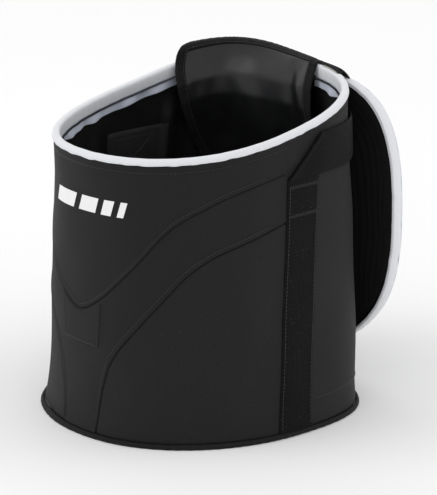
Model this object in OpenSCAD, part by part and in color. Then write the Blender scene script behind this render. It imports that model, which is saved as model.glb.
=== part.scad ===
// Soft bucket-shaped equipment bag: padded wall with sewn front panels, a zipped rim,
// a lid that folds right back on a soft hinge, and a webbing carry handle.
// The base stands on z = 0 with its centre near the origin. The front faces -Y.

/* [Base and rim] */
// Half the width of the wall at the base
base_half_w = 133; // [120:1:150]
// Distance from the origin to the front of the wall at the base
base_front = 149; // [130:1:165]
// Distance from the origin to the back of the wall at the base
base_back = 116; // [100:1:118]
// Half the width of the wall at the rim
rim_half_w = 115; // [110:1:118]
// Distance from the origin to the front of the rim
rim_front = 146; // [130:1:150]
// Distance from the origin to the back of the rim
rim_back = 117; // [112:0.5:117]
// Height of the rim at the middle of each side
side_h = 276.5; // [260:0.5:285]
// Rise of the rim towards the back, per millimetre
rim_slope = 0.17; // [0.15:0.01:0.18]
// Upward curve of the rim at front and back
rim_saddle = 0.0006; // [0.0004:0.0001:0.0006]

/* [Plan shape] */
// Squareness of the front half, where 2 is an ellipse
front_exp = 2.1; // [2:0.05:2.4]
// Squareness of the back half
back_exp = 3.08; // [2.6:0.02:3.2]
// Angle between two sections round the wall
step = 5; // [5, 6, 10]

/* [Materials] */
// Thickness of the outer fabric panels
fabric_t = 1.2; // [0.8:0.1:1.2]
// Thickness of the wall's foam
foam_t = 1.8; // [1:0.1:1.8]
// Thickness of the liner
liner_t = 1.2; // [0.8:0.1:1.2]
// Thickness of the webbing
web_t = 1.4; // [1:0.1:1.5]
// Width of the webbing
web_w = 38; // [30:1:40]
// Radius of the piping round the base
piping_r = 2.5; // [1.5:0.1:2.6]

/* [Lid] */
// Height of the axis that the lid folds about
hinge_z = 311.5; // [311:0.5:314]
// Distance of that axis behind the origin
hinge_y = 144; // [143.8:0.1:146]
// Thickness of the lid's foam core
lid_core_t = 6.8; // [4:0.1:6.8]

/* [Zip] */
// Radius of the zip's coil
coil_r = 1.25; // [0.8:0.05:1.3]
// Radius of the pin in the slider
pin_r = 0.8; // [0.6:0.05:0.9]
// Length of the pull tab
pull_l = 26; // [18:1:32]

/* [Hidden] */

gap = 0.3;
tiny = 0.01;
fabric_in = -fabric_t;
foam_out = fabric_in - 0.2;
foam_in = foam_out - foam_t;
liner_out = foam_in - gap;
liner_in = liner_out - liner_t;
trim_out = liner_in - gap;
trim_in = trim_out - 0.8;

floor_t = 1.5;
board_t = 3;
board_z = floor_t + 0.2;
liner_z = board_z + board_t + gap;

binding_outside = 8;
binding_inside = 11;
tape_low = 22;
zip_end = 155;

// Upper and lower seams of the front band: angle from the front, height.
upper_seam = [[0, 115], [12, 132], [27, 165], [35, 186], [42, 203], [50, 214], [62, 226], [75, 235], [90, 242]];
lower_seam = [[9, 0], [11, 38], [15, 70], [20, 88], [27, 107], [42, 145], [49, 162], [59, 176], [74, 187], [90, 199]];
seam_gap = 0.4;
panel_end = 88;
strip_half = 10;
patch_low = 85;
patch_half = 11;

// The webbing leans a little towards the back as it goes up.
web_low_y = -7;
web_lean = 0.096;
web_top = 241;
fold_top = 273;
fold_low = 235;
fold_end_y = 39;
web_out = gap + web_t;
fold_in = web_out + gap;
handle_in = fold_in + web_t + 1;
handle_y = fold_end_y - 6;
handle_low = 234.5;
handle_high = 272.5;
handle_back_gap = 9;

lid_out_y = 130.5;
lid_core_y = lid_out_y + fabric_t + gap;
lid_liner_y = lid_core_y + lid_core_t + 0.2;
lid_tape_y = lid_liner_y + 1.3;
lid_top_z = 284.5;
lid_stretch = 1.0116;

slider_z = 195;
slider_x = -116;
pin_x = -119.5;
pin_z = slider_z + 3;
pin_y = 141;

black = [0.17, 0.17, 0.18];
web_black = [0.1, 0.1, 0.1];
vinyl_black = [0.07, 0.07, 0.08];
white = [0.93, 0.94, 0.96];
metal = [0.3, 0.3, 0.32];

function spow(v, e) = sign(v) * pow(abs(v), e);
function mix(a, b, u) = a + (b - a) * u;
function half_w(z) = mix(base_half_w, rim_half_w, z / side_h);
function front_d(z) = mix(base_front, rim_front, z / side_h);
function back_d(z) = mix(base_back, rim_back, z / side_h);

// Point of the wall's plan: t = 0 at the front, 90 at +X, 180 at the back.
function plan(t, z) =
    let(c = cos(t), n = c > 0 ? front_exp : back_exp, h = c > 0 ? front_d(z) : back_d(z))
    [half_w(z) * spow(sin(t), 2 / n), -h * spow(c, 2 / n)];

function plan_normal(t) =
    let(v = plan(t + 1, side_h / 2) - plan(t - 1, side_h / 2))
    [v.y, -v.x] / norm(v);

function wall(t, z, d) =
    let(p = plan(t, z), n = plan_normal(t))
    [p.x + n.x * d, p.y + n.y * d, z];

function rim_z(t) =
    let(y = plan(t, side_h).y)
    side_h + rim_slope * y + rim_saddle * y * y;

// Angle at which the wall passes a given y at a given height.
function t_at(y, z) =
    y < 0 ? acos(pow(-y / front_d(z), front_exp / 2)) : 180 - acos(pow(y / back_d(z), back_exp / 2));

// Angles from t0 to t1, with every multiple of step between them.
function angles(t0, t1) =
    concat([t0], [for (i = [floor(t0 / step) + 1 : ceil(t1 / step) - 1]) i * step], [t1]);

function upper_z(t) = lookup(abs(t), upper_seam);
function lower_z(t) = lookup(abs(t), lower_seam);

// Closed skin over a row of rings. Each ring runs counter-clockwise in (outward, up).
// The inner half's quads split the other way, so nested sheets have the same diagonals.
module skin(rings, loop = false) {
    m = len(rings);
    k = len(rings[0]);
    sides = [
        for (i = [0 : m - (loop ? 1 : 2)]) for (j = [0 : k - 1])
            let(n = (i + 1) % m, q = (j + 1) % k, a = i * k + j, b = i * k + q, c = n * k + q, d = n * k + j)
            each j < k / 2 ? [[a, b, c], [a, c, d]] : [[a, b, d], [b, c, d]]
    ];
    ends = loop ? [] : [
        for (j = [1 : k - 2]) each [[0, j + 1, j], [(m - 1) * k, (m - 1) * k + j, (m - 1) * k + j + 1]]
    ];
    polyhedron(points = [for (r = rings) each r], faces = concat(sides, ends));
}

// One section of a sheet on the wall, from height z0 to z1 and from offset d0 out to d1.
function sheet_ring(t, z0, z1, d0, d1) =
    [wall(t, z0, d0), wall(t, z0, d1), wall(t, z1, d1), wall(t, z1, d0)];

function band_ring(t, low, high, d0, d1) =
    sheet_ring(t, rim_z(t) - low, rim_z(t) - high, d0, d1);

module round_plate(z0, z1, d) {
    translate([0, 0, z0])
        linear_extrude(z1 - z0)
            polygon([for (t = [0 : step : 359]) let(p = wall(t, z0, d)) [p.x, p.y]]);
}

// Tube round the wall, with its centre at a height below the rim or above the floor.
module wall_tube(ts, r, d, z, below_rim, loop) {
    skin([
        for (t = ts)
            let(zc = below_rim ? rim_z(t) - z : z)
            [for (a = [0 : 45 : 359]) wall(t, zc + r * sin(a), d + r * cos(a))]
    ], loop);
}

module base_panel() {
    color(black) round_plate(0, floor_t, 0);
}

module base_board() {
    color(web_black) round_plate(board_z, board_z + board_t, foam_in - gap);
}

module base_piping() {
    color(black) wall_tube([0 : step : 359], piping_r, piping_r + gap, piping_r + 0.3, false, true);
}

module wall_foam() {
    color(black)
        skin([for (t = [0 : step : 359]) sheet_ring(t, board_z, rim_z(t) - 1, foam_in, foam_out)], true);
}

module front_upper_panel() {
    color(black)
        skin([for (t = angles(-panel_end, panel_end)) sheet_ring(t, upper_z(t), rim_z(t) - 1, fabric_in, 0)]);
}

// Half of the chevron band, from the patch round to the webbing.
module v_band_half() {
    skin([
        for (t = angles(strip_half + 2, panel_end))
            sheet_ring(t, lower_z(t) + seam_gap, upper_z(t) - seam_gap, fabric_in, 0)
    ]);
}

module front_v_band() {
    color(black) {
        v_band_half();
        mirror([1, 0, 0]) v_band_half();
        skin([for (t = angles(-8.6, 8.6)) sheet_ring(t, board_z, patch_low - seam_gap, fabric_in, 0)]);
    }
}

module front_patch() {
    color(black)
        skin([
            for (t = angles(-patch_half, patch_half))
                sheet_ring(t, patch_low, upper_z(t) - seam_gap, fabric_in, 0)
        ]);
}

module side_lower_panel() {
    skin([
        for (t = concat([9.4, 10.4, 11.5, 13], angles(15, panel_end)))
            sheet_ring(t, board_z, max(lower_z(t) - 1, board_z + 2), fabric_in, 0)
    ]);
}

module side_lower_panel_right() {
    color(black) side_lower_panel();
}

module side_lower_panel_left() {
    color(black) mirror([1, 0, 0]) side_lower_panel();
}

module back_panel() {
    color(black)
        skin([
            for (t = angles(panel_end + 0.3, 359.7 - panel_end))
                sheet_ring(t, board_z, rim_z(t) - 1, fabric_in, 0)
        ]);
}

module liner_wall() {
    color(vinyl_black)
        skin([for (t = [0 : step : 359]) sheet_ring(t, liner_z, rim_z(t) - 1, liner_in, liner_out)], true);
}

module liner_floor() {
    color(vinyl_black) round_plate(liner_z, liner_z + 1, liner_in - gap);
}

// Tape folded over the rim: a long leg inside, a shorter one outside.
module rim_binding() {
    t_out = 1;
    color(white)
        skin([
            for (t = [0 : step : 359]) let(r = rim_z(t)) [
                wall(t, r - binding_outside, 0.2), wall(t, r - binding_outside, t_out),
                wall(t, r + 0.6, t_out), wall(t, r + 0.6, trim_in),
                wall(t, r - binding_inside, trim_in), wall(t, r - binding_inside, trim_out),
                wall(t, r - 0.5, trim_out), wall(t, r - 0.5, 0.2)
            ]
        ], true);
}

module body_zip_tape() {
    color(white)
        skin([
            for (t = angles(-zip_end, zip_end))
                band_ring(t, tape_low, binding_inside + gap, trim_in, trim_out)
        ]);
}

module body_zip_coil() {
    color(web_black)
        wall_tube(angles(2 - zip_end, zip_end - 2), coil_r, trim_in - coil_r - 0.2, binding_inside + 2.5, true, false);
}

// A stop at each end of the rim's zip.
module body_zip_stops() {
    color(metal)
        for (side = [-1, 1])
            skin([
                for (a = [-1.2, 1.2])
                    band_ring(side * (zip_end - 0.2) + a, 16, 11.5, trim_in - 2.6, trim_in - 0.2)
            ]);
}

// Webbing sewn up the side, with its top cut along the handle's 45 degree fold.
module side_webbing() {
    levels = [for (i = [0 : 8]) i / 8];
    across = [-web_w / 2, -web_w / 6, web_w / 6, web_w / 2];
    function web_point(s, v, d) =
        let(top = mix(web_top, fold_top, (s + web_w / 2) / web_w) - gap, z = mix(6, top, v), y = web_low_y + web_lean * z + s)
        wall(t_at(y, z), z, d);
    skin([
        for (v = levels)
            concat([for (s = across) web_point(s, v, gap)], [for (i = [3 : -1 : 0]) web_point(across[i], v, web_out)])
    ]);
}

module side_webbing_right() {
    color(web_black) side_webbing();
}

module side_webbing_left() {
    color(web_black) mirror([1, 0, 0]) side_webbing();
}

// Triangle where the webbing folds over and turns towards the back.
module handle_fold() {
    front_y = web_low_y + web_lean * web_top - web_w / 2;
    skin([
        for (i = [0 : 4])
            let(y = mix(front_y + 2, fold_end_y, i / 4), top = mix(web_top, fold_top, (y - front_y) / (fold_end_y - front_y)),
                low = mix(web_top - 2, fold_low, i / 4), t = t_at(y, (top + low) / 2))
            sheet_ring(t, low, top, fold_in, fold_in + web_t)
    ]);
}

module handle_fold_right() {
    color(web_black) handle_fold();
}

module handle_fold_left() {
    color(web_black) mirror([1, 0, 0]) handle_fold();
}

// Rows of dense stitching that hold the webbing to the wall.
module webbing_bartacks() {
    color(web_black)
        for (side = [0, 1]) mirror([side, 0, 0])
            for (z = [202, 228])
                let(yc = web_low_y + web_lean * z)
                skin([
                    for (s = [-17, -web_w / 6, web_w / 6, 17])
                        sheet_ring(t_at(yc + s, z), z - 1.5, z + 1.5, web_out + 0.2, web_out + 0.4)
                ]);
}

// Reinforcement sewn to the liner behind each handle anchor.
module inner_patch() {
    skin([
        for (y = [-22, -8, 8, 22, 36, 50])
            let(t = t_at(y, 210))
            sheet_ring(t, 178, 232, trim_in, trim_out)
    ]);
}

module inner_patch_right() {
    color(web_black) inner_patch();
}

module inner_patch_left() {
    color(web_black) mirror([1, 0, 0]) inner_patch();
}

// Plain slanted bars printed on the upper front.
module front_mark() {
    bars = [[-17, -3], [0, 9], [12, 17], [20, 23]];
    slant = 2;
    mark_in = 0.4;
    mark_out = 0.65;
    color(white)
        for (b = bars)
            skin([
                for (t = angles(b[0], b[1])) [
                    wall(t, 211, mark_in), wall(t, 211, mark_out),
                    wall(t + slant, 225, mark_out), wall(t + slant, 225, mark_in)
                ]
            ]);
}

// Section of the loose vinyl flap that hangs inside the back wall. Its ends slope inwards.
function flap_ring(u, d0, d1, low, high) =
    let(t_high = mix(172, 249, u), t_low = mix(168, 234, u), r = rim_z(t_high))
    [wall(t_low, low, d0), wall(t_low, low, d1), wall(t_high, r - high, d1), wall(t_high, r - high, d0)];

module flap_panel() {
    color(vinyl_black)
        skin([for (i = [0 : 14]) flap_ring(mix(0.04, 0.96, i / 14), -14, -12.6, 196, 4)]);
}

// Folded tape along the flap's two ends.
module flap_binding() {
    color(web_black)
        for (u = [[-0.09, 0.03], [0.97, 1.05]])
            skin([for (i = [0 : 2]) flap_ring(mix(u[0], u[1], i / 2), -14.2, -12.2, 194, 4)]);
}

// Soft hinge arched from the back of the rim to the top of the lid.
module hinge_strip() {
    mid_y = 126;
    mid_z = 306;
    outer_r = 7.5;
    inner_r = 6.3;
    half_l = 46;
    color(vinyl_black)
        translate([-half_l, 0, 0]) rotate([90, 0, 90]) linear_extrude(2 * half_l) {
            difference() {
                translate([mid_y, mid_z]) circle(r = outer_r, $fn = 48);
                translate([mid_y, mid_z]) circle(r = inner_r, $fn = 48);
                translate([mid_y - 10, mid_z - 20]) square(20);
            }
            translate([mid_y - outer_r, mid_z - 14]) square([outer_r - inner_r, 14 + tiny]);
            translate([mid_y + inner_r, lid_top_z + 0.5]) square([outer_r - inner_r, mid_z - lid_top_z - 0.5 + tiny]);
        }
}

// Webbing loop round the back of the bag, between the two folds.
module carry_handle() {
    mid_z = (handle_low + handle_high) / 2;
    t_start = t_at(handle_y, mid_z);
    function out(t) =
        let(u = sin(90 * min(1, (t > 180 ? 360 - t - t_start : t - t_start) / (150 - t_start))))
        mix(handle_in, handle_back_gap, u);
    color(web_black)
        skin([
            for (t = angles(t_start, 360 - t_start))
                sheet_ring(t, handle_low, handle_high, out(t), out(t) + web_t)
        ]);
}

// The lid hangs behind the back wall. Its outline is the rim's, laid out flat.
function lid_outline(d) =
    [for (t = [0 : step : 359]) let(p = wall(t, side_h, d)) [p.x, lid_top_z - (rim_back - p.y) * lid_stretch]];

module lid_slab(y0, y1, d_out, d_in) {
    translate([0, y1, 0]) rotate([90, 0, 0])
        linear_extrude(y1 - y0)
            difference() {
                polygon(lid_outline(d_out));
                if (d_in < d_out) polygon(lid_outline(d_in));
            }
}

module lid_panel() {
    color(black) lid_slab(lid_out_y, lid_out_y + fabric_t, -0.5, 0);
}

module lid_core() {
    color(black) lid_slab(lid_core_y, lid_core_y + lid_core_t, -3, 0);
}

module lid_liner() {
    color(vinyl_black) lid_slab(lid_liner_y, lid_liner_y + 1, -3, 0);
}

module lid_binding() {
    color(white) lid_slab(lid_core_y, lid_liner_y + 1, 0.4, -2.4);
}

module lid_zip_tape() {
    color(white) lid_slab(lid_tape_y, lid_tape_y + 0.8, -0.6, -7);
}

module lid_zip_coil() {
    color(web_black) lid_slab(lid_tape_y + 1, lid_tape_y + 2, -0.2, -2);
}

module zip_slider() {
    plate_t = 1.2;
    ear_t = 1.5;
    color(metal) {
        translate([slider_x - plate_t, pin_y - 5, slider_z - 7]) cube([plate_t, 10, 14]);
        for (y = [pin_y - 1.9 - ear_t, pin_y + 1.9])
            translate([0, y, 0]) {
                translate([pin_x, 0, pin_z - 1.6]) cube([slider_x - plate_t - pin_x + tiny, ear_t, 3.2]);
                translate([pin_x, ear_t, pin_z]) rotate([90, 0, 0]) cylinder(r = 1.6, h = ear_t, $fn = 32);
            }
        translate([pin_x, pin_y + 2.5, pin_z]) rotate([90, 0, 0]) cylinder(r = pin_r, h = 5, $fn = 32);
    }
}

module zip_pull() {
    eye_r = 1.5;
    hole_r = pin_r + 0.07;
    half_t = 0.7;
    half_w = 1.6;
    color(metal)
        difference() {
            union() {
                translate([pin_x, pin_y + half_w, pin_z]) rotate([90, 0, 0]) cylinder(r = eye_r, h = 2 * half_w, $fn = 32);
                translate([pin_x - half_t, pin_y - half_w, pin_z - 12]) cube([2 * half_t, 2 * half_w, 12]);
                translate([pin_x - half_t, pin_y - 3, pin_z - pull_l]) cube([2 * half_t, 6, pull_l - 11]);
            }
            translate([pin_x, pin_y + 5, pin_z]) rotate([90, 0, 0]) cylinder(r = hole_r, h = 10, $fn = 32);
            translate([pin_x - 2, pin_y, pin_z - pull_l + 4]) rotate([0, 90, 0]) cylinder(r = 1.5, h = 4, $fn = 32);
        }
}

base_panel();
base_board();
base_piping();
wall_foam();
front_upper_panel();
front_v_band();
front_patch();
side_lower_panel_left();
side_lower_panel_right();
back_panel();
liner_wall();
liner_floor();
rim_binding();
body_zip_tape();
body_zip_coil();
body_zip_stops();
side_webbing_left();
side_webbing_right();
handle_fold_left();
handle_fold_right();
webbing_bartacks();
inner_patch_left();
inner_patch_right();
front_mark();
flap_panel();
flap_binding();
hinge_strip();
carry_handle();
lid_panel();
lid_core();
lid_liner();
lid_binding();
lid_zip_tape();
lid_zip_coil();
zip_slider();
zip_pull();
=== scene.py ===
# Bucket-shaped equipment bag: cloth, tapes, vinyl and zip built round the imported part.
import bpy
import math
import numpy as np
from mathutils import Matrix, Vector


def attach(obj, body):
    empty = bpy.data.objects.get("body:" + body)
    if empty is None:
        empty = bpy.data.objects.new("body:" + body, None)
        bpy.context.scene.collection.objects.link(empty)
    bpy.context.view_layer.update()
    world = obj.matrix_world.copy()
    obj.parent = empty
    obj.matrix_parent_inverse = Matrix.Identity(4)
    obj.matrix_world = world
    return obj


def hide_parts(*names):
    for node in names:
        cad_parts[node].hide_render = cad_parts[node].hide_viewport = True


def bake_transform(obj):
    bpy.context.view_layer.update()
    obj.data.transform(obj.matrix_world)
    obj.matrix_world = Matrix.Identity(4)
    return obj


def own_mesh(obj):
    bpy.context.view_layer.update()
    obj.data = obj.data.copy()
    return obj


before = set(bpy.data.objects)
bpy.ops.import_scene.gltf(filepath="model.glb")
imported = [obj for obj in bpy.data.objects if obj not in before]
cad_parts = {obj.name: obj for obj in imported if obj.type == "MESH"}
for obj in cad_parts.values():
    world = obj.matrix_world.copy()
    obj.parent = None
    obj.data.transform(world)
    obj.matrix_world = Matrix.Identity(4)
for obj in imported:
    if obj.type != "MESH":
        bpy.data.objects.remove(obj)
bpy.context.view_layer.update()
turn = 2 * math.pi


# ---- small helpers: all shapes are in millimetres until makePiece turns them into metres
def mix(a, b, u):  # a at u = 0, b at u = 1, in a straight line between
    return a + (b - a) * u


def ease(u):  # three u squared minus two u cubed, held between 0 and 1
    u = np.clip(u, 0, 1)
    return u * u * (3 - 2 * u)


def hump(x, width):  # bell curve: e to the minus of x over width, squared
    return np.exp(-((x / width) ** 2))


def unit(v):  # each vector over its own length
    return v / np.maximum(np.linalg.norm(v, axis=-1, keepdims=True), 1e-9)


def softened(x, y, width):  # y as a running bell-weighted mean over x, ends carried on in a straight line
    step = x[1] - x[0]
    reach = int(4 * width / step)
    k = hump(np.arange(-reach, reach + 1) * step, width * 1.414)
    before = y[0] + (y[0] - y[1]) * np.arange(reach, 0, -1)
    after = y[-1] + (y[-1] - y[-2]) * np.arange(1, reach + 1)
    return np.convolve(np.concatenate([before, y, after]), k / k.sum(), "valid")


def gridFaces(nu, nv, wrapU=False, wrapV=False):  # quads of a grid of nu by nv points, facing u cross v
    i, j = np.meshgrid(np.arange(nu if wrapU else nu - 1), np.arange(nv if wrapV else nv - 1), indexing="ij")
    n, q = (i + 1) % nu, (j + 1) % nv
    return np.stack([i * nv + j, n * nv + j, n * nv + q, i * nv + q], -1).reshape(-1, 4)


def sheetPart(outer, inner, uv, wrapU=False):
    # closed shell: outer grid, inner grid and the strips between their rims
    nu, nv = outer.shape[:2]
    size = nu * nv
    index = np.arange(size).reshape(nu, nv)
    if wrapU:
        index = np.vstack([index, index[:1]])
    faces = [gridFaces(nu, nv, wrapU), gridFaces(nu, nv, wrapU)[:, ::-1] + size]
    low, high = index[:, 0], index[:, -1]
    faces.append(np.stack([low[:-1], low[:-1] + size, low[1:] + size, low[1:]], -1))
    faces.append(np.stack([high[:-1], high[1:], high[1:] + size, high[:-1] + size], -1))
    if not wrapU:
        a, b = index[0], index[-1]
        faces.append(np.stack([a[:-1], a[1:], a[1:] + size, a[:-1] + size], -1))
        faces.append(np.stack([b[:-1], b[:-1] + size, b[1:] + size, b[1:]], -1))
    points = np.concatenate([outer.reshape(-1, 3), inner.reshape(-1, 3)])
    return points, np.concatenate(faces), np.concatenate([uv.reshape(-1, 2)] * 2)


def loopPart(rings, uv, wrapU=False):
    # rings of points joined one to the next, each closed on itself, with flat end caps
    nu, nv = rings.shape[:2]
    faces = gridFaces(nu, nv, wrapU, True)
    points, uvs = rings.reshape(-1, 3), uv.reshape(-1, 2)
    if not wrapU:
        points = np.concatenate([points, rings[[0, -1]].mean(1)])
        uvs = np.concatenate([uvs, uv[[0, -1]].mean(1)])
        j = np.arange(nv)
        q, m, last = (j + 1) % nv, nu * nv, (nu - 1) * nv
        caps = [np.stack([j * 0 + m, j, q, q], -1),
                np.stack([j * 0 + m + 1, last + q, last + j, last + j], -1)]
        faces = np.concatenate([faces, *caps])
    return points, faces, uvs


def makePiece(name, parts, material, body="bag", sharp=40, replaces=()):
    # parts are (points, faces, uv); a face whose last two corners are the same is a triangle
    points, corners, starts, uvs, at, loops = [], [], [], [], 0, 0
    for p, f, uv in parts:
        three = f[:, 2] == f[:, 3]
        for rows, n in ((f[~three], 4), (f[three][:, :3], 3)):
            corners.append((rows + at).ravel())
            starts.append(loops + n * np.arange(len(rows)))
            loops += n * len(rows)
        points.append(p)
        uvs.append(uv)
        at += len(p)
    corners, starts, uvs = np.concatenate(corners), np.concatenate(starts), np.concatenate(uvs)
    mesh = bpy.data.meshes.new(name)
    mesh.vertices.add(at)
    mesh.vertices.foreach_set("co", (np.concatenate(points) / 1000).astype(np.float32).ravel())
    mesh.loops.add(loops)
    mesh.loops.foreach_set("vertex_index", corners.astype(np.int32))
    mesh.polygons.add(len(starts))
    mesh.polygons.foreach_set("loop_start", starts.astype(np.int32))
    mesh.update(calc_edges=True)
    mesh.validate()
    layer = mesh.uv_layers.new(name="UVMap")
    layer.data.foreach_set("uv", (uvs[corners] / 1000).astype(np.float32).ravel())
    mesh.polygons.foreach_set("use_smooth", np.ones(len(starts), bool))
    mesh.set_sharp_from_angle(angle=math.radians(sharp))
    mesh.materials.append(material)
    o = bpy.data.objects.new(name, mesh)
    bpy.context.scene.collection.objects.link(o)
    if body:
        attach(o, body)
    if replaces:
        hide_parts(*replaces)
    return o


# ---- the bag's wall as a surface: distance s round the middle of the wall (0 at the front, + towards
# +X), height z, offset d outwards
bagShape = {
    "baseHalfWidth": 133, "rimHalfWidth": 115, "baseFront": 149, "rimFront": 146, "baseBack": 116,
    "rimBack": 117,
    "sideHeight": 276.5, "rimSlope": 0.17, "rimSaddle": 0.0006, "frontSquare": 2.1, "backSquare": 3.08,
}


def planTable():
    # unit outline: sine and cosine raised to 2 over the squareness, then read at even steps of length
    q = np.linspace(0, 1, 1500, endpoint=False)
    q = q**3 * (10 - 15 * q + 6 * q * q)
    t = np.concatenate([-180 + 90 * (k + q) for k in range(4)] + [[180]])
    c, s = np.cos(np.radians(t)), np.sin(np.radians(t))
    e = 2 / np.where(c > 0, bagShape["frontSquare"], bagShape["backSquare"])
    ux, uy = np.sign(s) * np.abs(s) ** e, -np.sign(c) * np.abs(c) ** e
    x, y = 124 * ux, np.where(uy < 0, 147.5, 116.5) * uy
    run = np.concatenate([[0], np.cumsum(np.hypot(np.diff(x), np.diff(y)))])
    length = run[-1]
    even = np.linspace(0, length, 3201)
    wide = np.concatenate([even[:-1] - length, even[:-1], even + length])
    rx, ry = (softened(wide, np.interp(wide, run, v, period=length), 4) for v in (x, y))
    nx, ny = np.gradient(ry, wide), -np.gradient(rx, wide)
    keep = slice(3200, 6401)
    n = np.hypot(nx, ny)[keep]
    return {
        "s": even - length / 2, "length": length, "t": np.interp(even, run, t),
        "ux": np.interp(even, run, ux), "uy": np.interp(even, run, uy), "nx": nx[keep] / n,
        "ny": ny[keep] / n,
    }


plan = planTable()
lap = plan["length"]


def sAt(t):  # distance round the wall at an angle in degrees, beyond 180 too
    k = np.floor((np.asarray(t, float) + 180) / 360)
    return np.interp(t - 360 * k, plan["t"], plan["s"]) + k * lap


def lapRound(count):  # even distances once round the wall, the end not repeated
    return np.linspace(-lap / 2, lap / 2, count, endpoint=False)


def planAt(name, s):  # one row of the plan's table read at s, going on past the back
    return np.interp(s, plan["s"], plan[name], period=lap)


def wallPoint(s, z, d):
    # the unit plan times half sizes that run straight from base to rim, plus d along its normal
    s, z, d = np.broadcast_arrays(np.asarray(s, float), z, d)
    ux, uy, u = planAt("ux", s), planAt("uy", s), z / bagShape["sideHeight"]
    deep = np.where(uy < 0, mix(bagShape["baseFront"], bagShape["rimFront"], u),
                    mix(bagShape["baseBack"], bagShape["rimBack"], u))
    wide = mix(bagShape["baseHalfWidth"], bagShape["rimHalfWidth"], u)
    return np.stack([wide * ux + planAt("nx", s) * d, deep * uy + planAt("ny", s) * d, z], -1)


def outwards(s, z=250):  # square to the wall: the point one millimetre out less the point on it
    return wallPoint(s, z, 1.0) - wallPoint(s, z, 0.0)


def rimZ(s):  # height of the rim: a slope towards the back and a saddle in y squared
    y = wallPoint(s, bagShape["sideHeight"], 0)[..., 1]
    return bagShape["sideHeight"] + bagShape["rimSlope"] * y + bagShape["rimSaddle"] * y * y


def sOfY(y, z):  # distance round the +X wall where it passes y at height z
    u = z / bagShape["sideHeight"]
    front = np.clip(-y / mix(bagShape["baseFront"], bagShape["rimFront"], u), 0, 1)
    back = np.clip(y / mix(bagShape["baseBack"], bagShape["rimBack"], u), 0, 1)
    t = np.where(y < 0, np.degrees(np.arccos(front ** (bagShape["frontSquare"] / 2))),
                 180 - np.degrees(np.arccos(back ** (bagShape["backSquare"] / 2))))
    return sAt(t)


def folds(s, z, seed, around, up, count=7):
    # sum of cosines with a whole number of waves round the bag and a few waves up it
    rng = np.random.default_rng(seed)
    total = 0
    for k in range(count):
        a, b = rng.integers(around[0], around[1] + 1), rng.uniform(*up) * rng.choice([-1, 1])
        total = total + np.cos(turn * (a * s / lap + b * z / 300) + rng.uniform(0, turn))
    return total / math.sqrt(count)


wallFolds = {
    "broad": 0.9, "medium": 0.35, "baseFlare": 2.2, "leftFlare": 2.6, "flareHeight": 15,
    # soft dents and bulges: angle, height, width round, width up, amount
    "places": [(128, 190, 40, 45, 2.4), (132, 80, 50, 60, 2.4), (-46, 205, 60, 70, -3.2),
               (-42, 145, 30, 18, -1.2),
               (-46, 80, 60, 60, -3.6), (45, 60, 55, 40, 1.2), (112, 22, 30, 10, -1.2),
               (20, 160, 45, 30, 1.0)],
}


def sag(s, z):  # how far the soft wall stands out from its plain shape
    rim = rimZ(s)
    free = 0.25 + 0.75 * ease((rim - z) / 40)
    d = wallFolds["broad"] * folds(s, z, 3, (2, 6),
                                   (0.3, 1.6)) + wallFolds["medium"] * folds(s, z, 8, (7, 16), (0.5, 3))
    for t, height, wide, tall, amount in wallFolds["places"]:
        away = (s - sAt(t) + lap / 2) % lap - lap / 2
        d = d + amount * hump(away, wide) * hump(z - height, tall)
    left = hump((s - sAt(-42) + lap / 2) % lap - lap / 2, 90)
    return d * free * ease(z / 8 + 0.3) + (wallFolds["baseFlare"]
                                           + wallFolds["leftFlare"]
                                           * left) * np.exp(-z / wallFolds["flareHeight"])


def onBag(s, z, d):  # a point on the sagging wall, d outside it
    return wallPoint(s, z, d + sag(np.asarray(s, float), z))


def seamTable(points, width):
    # height of a seam against distance round the wall, from (angle, height) corners
    t, z = np.array(points, float).T
    return softened(plan["s"], np.interp(np.abs(plan["t"]), t, z), width)


upperSeam = seamTable([(0, 115), (12, 132), (27, 165), (35, 186), (42, 203), (50, 214), (62, 226), (75, 235),
                       (90, 242)], 7)
steepSeam, slowSeam = (seamTable([(0, 0), (8.7, 0), (9.6, 10), (11, 38), (15, 70), (20, 88), (27, 107),
                                  (42, 145), (49, 162), (59, 176), (74, 187), (90, 199)], w)
                                  for w in (1.6, 8))
lowerSeam = mix(steepSeam, slowSeam, ease((np.abs(plan["t"]) - 18) / 12))


def upperZ(s):  # height of the upper seam
    return np.interp(s, plan["s"], upperSeam)


def lowerZ(s):  # height of the lower seam
    return np.interp(s, plan["s"], lowerSeam)


# ---- materials
def nodeGroup(name, inputs, outputs):  # an empty group with its sockets and its two end nodes
    g = bpy.data.node_groups.new(name, "ShaderNodeTree")
    for n, kind, value in inputs:
        s = g.interface.new_socket(name=n, in_out="INPUT", socket_type=kind)
        if value is not None:
            s.default_value = value
    for n, kind in outputs:
        g.interface.new_socket(name=n, in_out="OUTPUT", socket_type=kind)
    return g, g.nodes.new("NodeGroupInput"), g.nodes.new("NodeGroupOutput")


def wire(tree, kind, settings=(), **sockets):
    # a node with its settings; a socket takes a number, a colour or another socket
    n = tree.nodes.new(kind)
    for k, v in dict(settings).items():
        setattr(n, k, v)
    for k, v in sockets.items():
        s = n.inputs[int(k[1:])] if k[0] == "i" and k[1:].isdigit() else n.inputs[k.replace("_", " ")]
        if isinstance(v, bpy.types.NodeSocket):
            tree.links.new(v, s)
        else:
            s.default_value = v
    return n


def calc(tree, operation, *values):  # one maths node
    return wire(tree, "ShaderNodeMath", {"operation": operation},
                **{f"i{k}": v for k, v in enumerate(values)}).outputs[0]


def blendColour(tree, factor, a, b):  # colour a at factor 0, b at factor 1
    n = wire(tree, "ShaderNodeMix", {"data_type": "RGBA"})
    for socket, v in ((n.inputs[0], factor), (n.inputs[6], a), (n.inputs[7], b)):
        if isinstance(v, bpy.types.NodeSocket):
            tree.links.new(v, socket)
        else:
            socket.default_value = v
    return n.outputs[2]


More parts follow.
